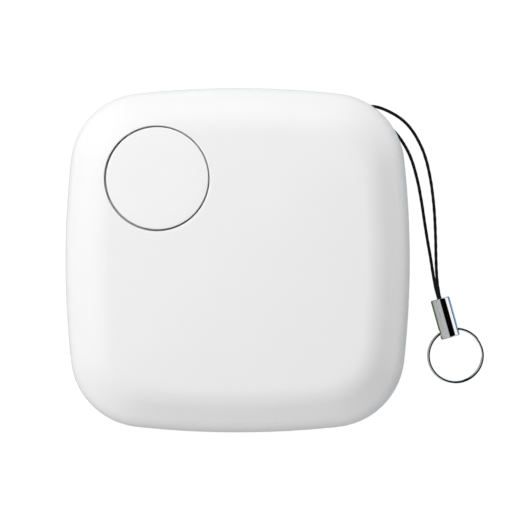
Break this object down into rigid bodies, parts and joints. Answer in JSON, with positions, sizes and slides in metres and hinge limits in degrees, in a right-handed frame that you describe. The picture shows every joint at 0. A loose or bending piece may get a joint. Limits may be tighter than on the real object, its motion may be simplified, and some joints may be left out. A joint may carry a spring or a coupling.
{
  "type": "bluetooth tracker tag",
  "caption": "Small white rounded-square tracker tag with a round push button and a thin looped cord that carries a metal barrel and a split ring.",
  "frame": {"origin": "centre of the flat back of the body, so the bottom centre of the body's box without the strap", "axes": "+Z out of the front face, +Y towards the top edge, +X to the right when the front is seen with the button at the upper left"},
  "size_m": [0.0512, 0.042, 0.0096],
  "materials": {
    "shell_white": "satin moulded",
    "button_white": "satin moulded",
    "dark_rubber": "soft",
    "steel": "stamped",
    "cell_filling": "stamped",
    "pale_plastic": "moulded",
    "brass": "stamped",
    "black_plastic": "moulded",
    "board_green": "coated laminate",
    "pale_ceramic": "fired ceramic",
    "tan_ceramic": "fired ceramic",
    "black_cord": "braided",
    "polished_metal": "mirror polished"
  },
  "bodies": {
    "case": {"front_shell": "shell_white", "rear_shell": "shell_white", "button_gasket": "dark_rubber", "door_seal": "dark_rubber", "cell_can": "steel", "cell_gasket": "pale_plastic", "cell_cap": "cell_filling", "negative_contact": "brass", "positive_contact": "brass", "switch_base": "black_plastic", "switch_dome": "steel", "switch_cover": "steel", "circuit_board": "board_green", "board_screw_1": "steel", "board_screw_2": "steel", "board_screw_3": "steel", "bluetooth_chip": "black_plastic", "main_crystal": "steel", "clock_crystal": "steel", "chip_antenna": "pale_ceramic", "boost_inductor": "black_plastic", "capacitor_1": "tan_ceramic", "capacitor_2": "tan_ceramic", "capacitor_3": "tan_ceramic", "capacitor_4": "tan_ceramic", "piezo_adhesive": "dark_rubber", "piezo_disc": "brass", "piezo_ceramic": "pale_ceramic", "piezo_contact_centre": "brass", "piezo_contact_edge": "brass"},
    "button": {"button_cap": "button_white"},
    "switch": {"switch_plunger": "black_plastic"},
    "door": {"battery_door": "shell_white"},
    "strap": {"strap_cord": "black_cord", "strap_ferrule": "polished_metal"},
    "ring": {"split_ring": "polished_metal"}
  },
  "joints": [
    {"name": "button_press", "type": "slide", "parent": "case", "child": "button", "axis": [0, 0, -1], "range_m": [0, 0.0003], "stiffness_N_per_m": 600, "springref_m": -0.002},
    {"name": "switch_press", "type": "slide", "parent": "case", "child": "switch", "axis": [0, 0, -1], "range_m": [0, 0.0003], "deforming": ["switch_dome"]},
    {"name": "door_turn", "type": "hinge", "parent": "case", "child": "door", "pos_m": [0, 0, 0], "axis": [0, 0, 1], "range_deg": [0, 30]},
    {"name": "strap_swing", "type": "hinge", "parent": "case", "child": "strap", "pos_m": [0.015, 0.0174, 0.0028], "axis": [0, 0, 1], "range_deg": [-2, 30]},
    {"name": "ring_swing", "type": "hinge", "parent": "strap", "child": "ring", "pos_m": [0.02586, -0.00861, 0.0012], "axis": [-0.9627, -0.2706, 0], "range_deg": [0, 150]}
  ],
  "couplings": [
    {"joint": "switch_press", "follows": "button_press", "ratio": 1}
  ]
}
